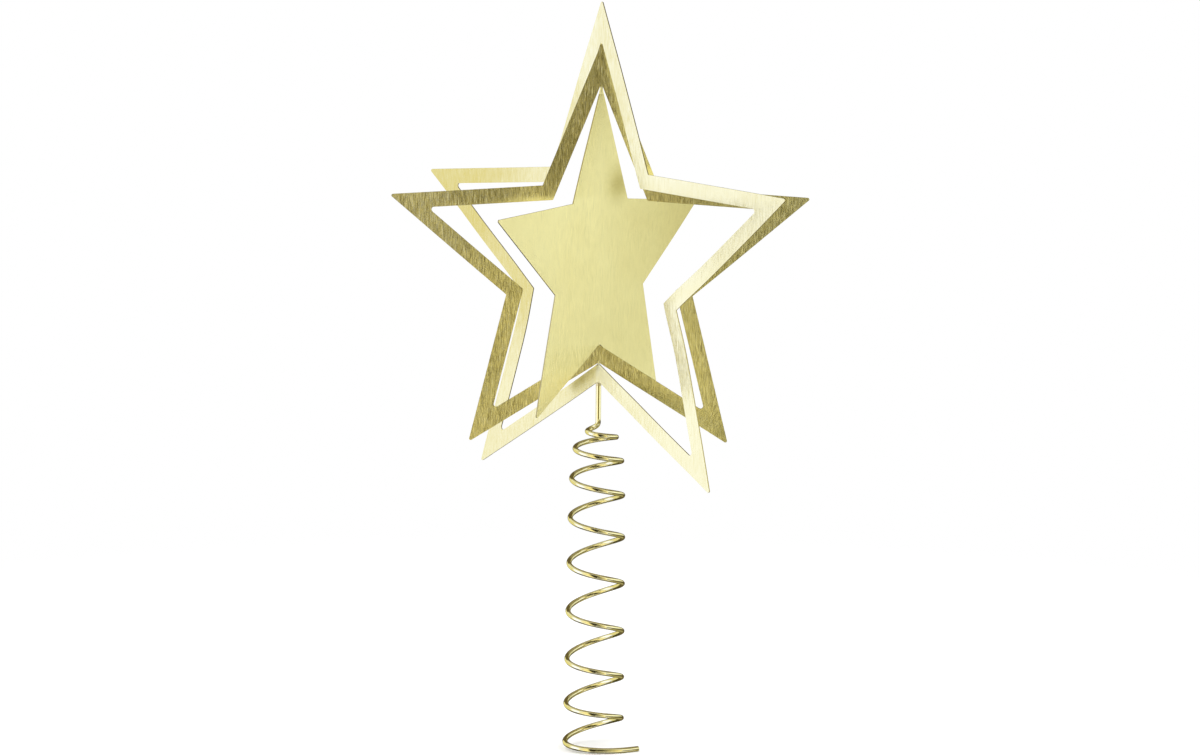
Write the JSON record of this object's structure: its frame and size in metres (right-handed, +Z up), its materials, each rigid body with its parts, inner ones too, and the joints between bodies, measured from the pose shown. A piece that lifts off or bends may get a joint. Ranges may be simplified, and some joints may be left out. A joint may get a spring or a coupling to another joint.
{
  "type": "christmas tree topper star",
  "caption": "Brushed brass tree topper: nested cut-out stars twisted open about an upright axis, on a wire stem that winds down into an open coil for the tree's leader.",
  "frame": {"origin": "centre of the coil's mouth, on the upright axis, level with the underside of the wire's tail", "axes": "+Z up along the coil's axis towards the stars' top points, -Y towards a viewer who faces the middle star, +X to that viewer's right"},
  "size_m": [0.1592, 0.1348, 0.2877],
  "materials": {
    "brushed_brass_sheet": "fine vertical brush lines",
    "brass_wire": "bright drawn wire",
    "braze": "bright, slightly uneven"
  },
  "bodies": {
    "coil_body": {"coil_spring": "brass_wire"},
    "stem_body": {"stem": "brass_wire"},
    "outer_body": {"outer_star": "brushed_brass_sheet", "outer_top_tab": "brushed_brass_sheet", "outer_bottom_tab": "brushed_brass_sheet", "braze_bead": "braze"},
    "middle_body": {"middle_star": "brushed_brass_sheet", "inner_top_tab": "brushed_brass_sheet", "inner_bottom_tab": "brushed_brass_sheet"},
    "inner_body": {"inner_star": "brushed_brass_sheet"}
  },
  "joints": [
    {"name": "coil_compress", "type": "slide", "parent": "coil_body", "child": "stem_body", "axis": [0, 0, 1], "range_m": [-0.02, 0.02], "stiffness_N_per_m": 1190, "springref_m": 0.00045, "deforming": ["coil_spring"]},
    {"name": "stem_bend", "type": "hinge", "parent": "stem_body", "child": "outer_body", "pos_m": [0, 0, 0.13099], "axis": [0, 1, 0], "range_deg": [-20, 20], "deforming": ["stem"]},
    {"name": "middle_twist", "type": "hinge", "parent": "outer_body", "child": "middle_body", "pos_m": [0, 0, 0.18772], "axis": [0, 0, 1], "range_deg": [-135, 45], "deforming": ["outer_top_tab", "outer_bottom_tab"]},
    {"name": "inner_twist", "type": "hinge", "parent": "middle_body", "child": "inner_body", "pos_m": [0, 0, 0.18772], "axis": [0, 0, 1], "range_deg": [-144.4, 35.6], "deforming": ["inner_top_tab", "inner_bottom_tab"]}
  ]
}
